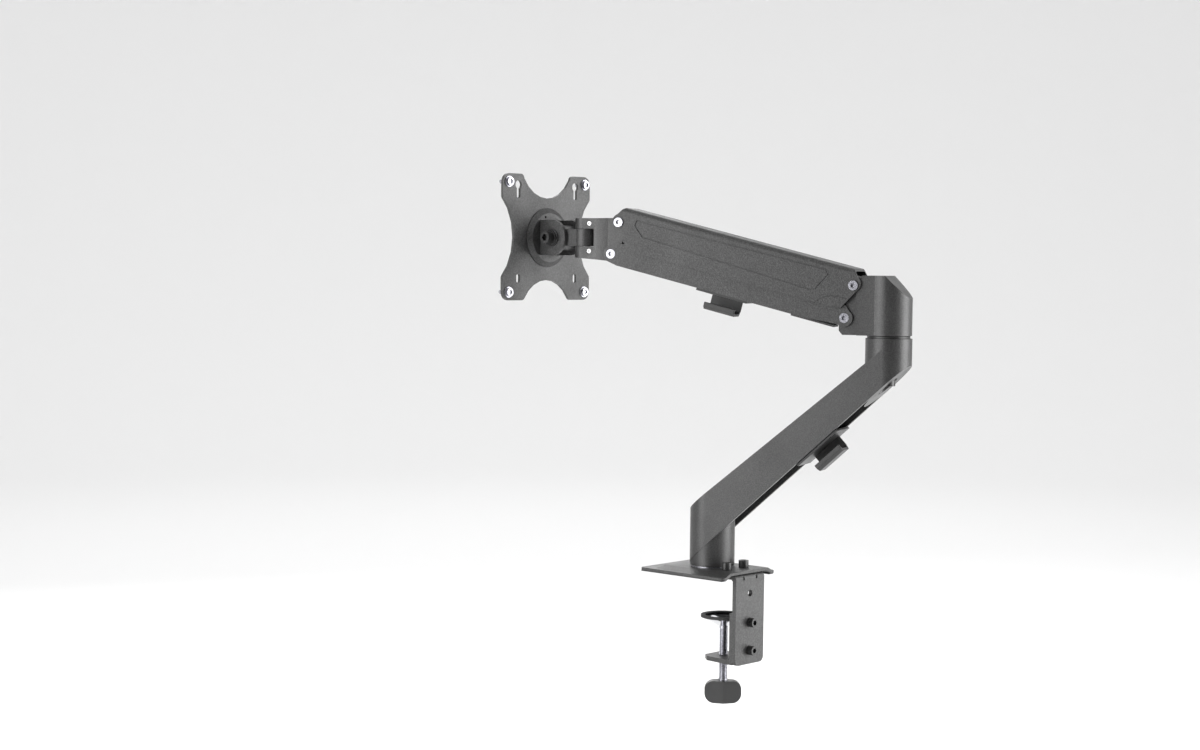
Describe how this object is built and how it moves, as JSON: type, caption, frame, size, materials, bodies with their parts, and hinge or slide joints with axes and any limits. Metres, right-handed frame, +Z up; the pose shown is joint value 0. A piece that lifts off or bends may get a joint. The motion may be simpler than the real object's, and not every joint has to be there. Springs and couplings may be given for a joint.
{
  "type": "monitor arm",
  "caption": "Desk-clamped monitor arm with a slanted lower arm, a swivelling elbow, a gas-spring parallelogram upper arm and a tilting, turning screen plate.",
  "frame": {"origin": "on the base swivel axis, at the desk's surface, which is the underside of the pad under the base plate", "axes": "+Z up along the mast; +Y from the screen towards the clamp bracket; the screen plate faces -Y; +X completes a right-handed frame"},
  "size_m": [0.1851, 0.339, 0.4738],
  "materials": {
    "black_powder_coat": "satin, fine texture",
    "cast_black": "satin, fine texture",
    "black_plastic": "matt",
    "black_oxide": "semi-gloss",
    "zinc": "bright zinc",
    "chrome": "polished",
    "steel": "machined",
    "bush_plastic": "natural nylon",
    "pad_rubber": "matt"
  },
  "bodies": {
    "base": {"desk_pad": "pad_rubber", "base_plate": "black_powder_coat", "base_bolts": "black_oxide", "mast_post": "steel", "post_screw": "steel", "thrust_washer": "zinc", "clamp_bracket": "black_powder_coat", "lower_jaw": "black_powder_coat", "jaw_bolts": "black_oxide"},
    "pressure_pad": {"pressure_cup": "chrome", "cup_ring": "pad_rubber"},
    "clamp_screw_body": {"clamp_screw": "zinc", "clamp_knob": "black_plastic"},
    "lower_arm_body": {"lower_arm": "cast_black", "mast_bush": "bush_plastic", "lower_clip": "black_plastic", "elbow_shaft": "steel", "elbow_bolt": "black_oxide", "seam_washer": "black_plastic"},
    "collar_body": {"elbow_collar": "cast_black", "elbow_bush": "bush_plastic", "collar_bushes": "bush_plastic"},
    "tension_screw_body": {"tension_screw": "steel"},
    "tension_nut_body": {"tension_nut": "steel"},
    "upper_link_body": {"upper_cover": "black_powder_coat", "upper_pivots": "zinc", "spring_anchor": "black_powder_coat", "spring_pin": "steel"},
    "lower_link_body": {"lower_link": "black_powder_coat", "lower_pivots": "zinc", "upper_clip": "black_plastic", "stop_strip": "black_powder_coat"},
    "spring_tube_body": {"gas_tube": "black_oxide", "gas_gland": "steel"},
    "spring_rod_body": {"gas_rod": "chrome", "gas_piston": "steel"},
    "head_body": {"head_bracket": "cast_black", "head_bushes": "bush_plastic", "swivel_pin": "steel", "grub_screws": "steel"},
    "knuckle_body": {"knuckle": "cast_black", "swivel_bush": "bush_plastic"},
    "tilt_body": {"tilt_bracket": "black_powder_coat", "tilt_bolt": "black_oxide", "tilt_washers": "black_oxide", "tilt_nut": "black_oxide", "hub": "steel"},
    "plate_body": {"rotation_disc": "black_powder_coat", "mount_plate": "black_powder_coat", "plate_screws": "zinc"}
  },
  "joints": [
    {"name": "base_swivel", "type": "hinge", "parent": "base", "child": "lower_arm_body", "pos_m": [0, 0, 0.03], "axis": [0, 0, 1], "continuous": true},
    {"name": "elbow_swivel", "type": "hinge", "parent": "lower_arm_body", "child": "collar_body", "pos_m": [-0.05307, 0.14988, 0.2177], "axis": [0, 0, 1], "continuous": true},
    {"name": "arm_lift", "type": "hinge", "parent": "collar_body", "child": "upper_link_body", "pos_m": [-0.04257, 0.12452, 0.2606], "axis": [-0.9239, -0.3827, 0], "range_deg": [-49, 26]},
    {"name": "lower_link_turn", "type": "hinge", "parent": "collar_body", "child": "lower_link_body", "pos_m": [-0.03945, 0.11699, 0.2325], "axis": [-0.9239, -0.3827, 0], "range_deg": [-50, 27]},
    {"name": "head_level", "type": "hinge", "parent": "upper_link_body", "child": "head_body", "pos_m": [0.03949, -0.07359, 0.31406], "axis": [-0.9239, -0.3827, 0], "range_deg": [-27, 50]},
    {"name": "spring_turn", "type": "hinge", "parent": "upper_link_body", "child": "spring_tube_body", "pos_m": [0.02928, -0.04894, 0.30123], "axis": [-0.9239, -0.3827, 0], "range_deg": [-2, 2]},
    {"name": "spring_stroke", "type": "slide", "parent": "spring_tube_body", "child": "spring_rod_body", "axis": [-0.3678, 0.888, -0.2761], "range_m": [-0.00995, 0.00537]},
    {"name": "tension_turn", "type": "hinge", "parent": "collar_body", "child": "tension_screw_body", "pos_m": [-0.04665, 0.13436, 0.25], "axis": [0, 0, 1], "range_deg": [-365, 365]},
    {"name": "tension_travel", "type": "slide", "parent": "collar_body", "child": "tension_nut_body", "axis": [0, 0, 1], "range_m": [-0.001, 0.001]},
    {"name": "head_swivel", "type": "hinge", "parent": "head_body", "child": "knuckle_body", "pos_m": [0.05411, -0.10888, 0.3005], "axis": [0, 0, 1], "range_deg": [-67.5, 112.5]},
    {"name": "screen_tilt", "type": "hinge", "parent": "knuckle_body", "child": "tilt_body", "pos_m": [0.05411, -0.13889, 0.3005], "axis": [-1, 0, 0], "range_deg": [-35, 35]},
    {"name": "screen_turn", "type": "hinge", "parent": "tilt_body", "child": "plate_body", "pos_m": [0.05411, -0.16068, 0.3005], "axis": [0, 1, 0], "range_deg": [-90, 90]},
    {"name": "pad_travel", "type": "slide", "parent": "base", "child": "pressure_pad", "axis": [0, 0, 1], "range_m": [-0.024, 0.018]},
    {"name": "clamp_turn", "type": "hinge", "parent": "pressure_pad", "child": "clamp_screw_body", "pos_m": [0, 0.0144, -0.08], "axis": [0, 0, 1], "range_deg": [-6942, 5214]}
  ],
  "couplings": [
    {"joint": "lower_link_turn", "follows": "arm_lift", "ratio": 1},
    {"joint": "head_level", "follows": "arm_lift", "ratio": -1},
    {"joint": "spring_turn", "follows": "arm_lift", "ratio": 0.0185},
    {"joint": "spring_stroke", "follows": "arm_lift", "m_per_rad": 0.0114},
    {"joint": "tension_turn", "follows": "tension_travel", "rad_per_m": 6283.2},
    {"joint": "clamp_turn", "follows": "pad_travel", "rad_per_m": 5026.5}
  ]
}
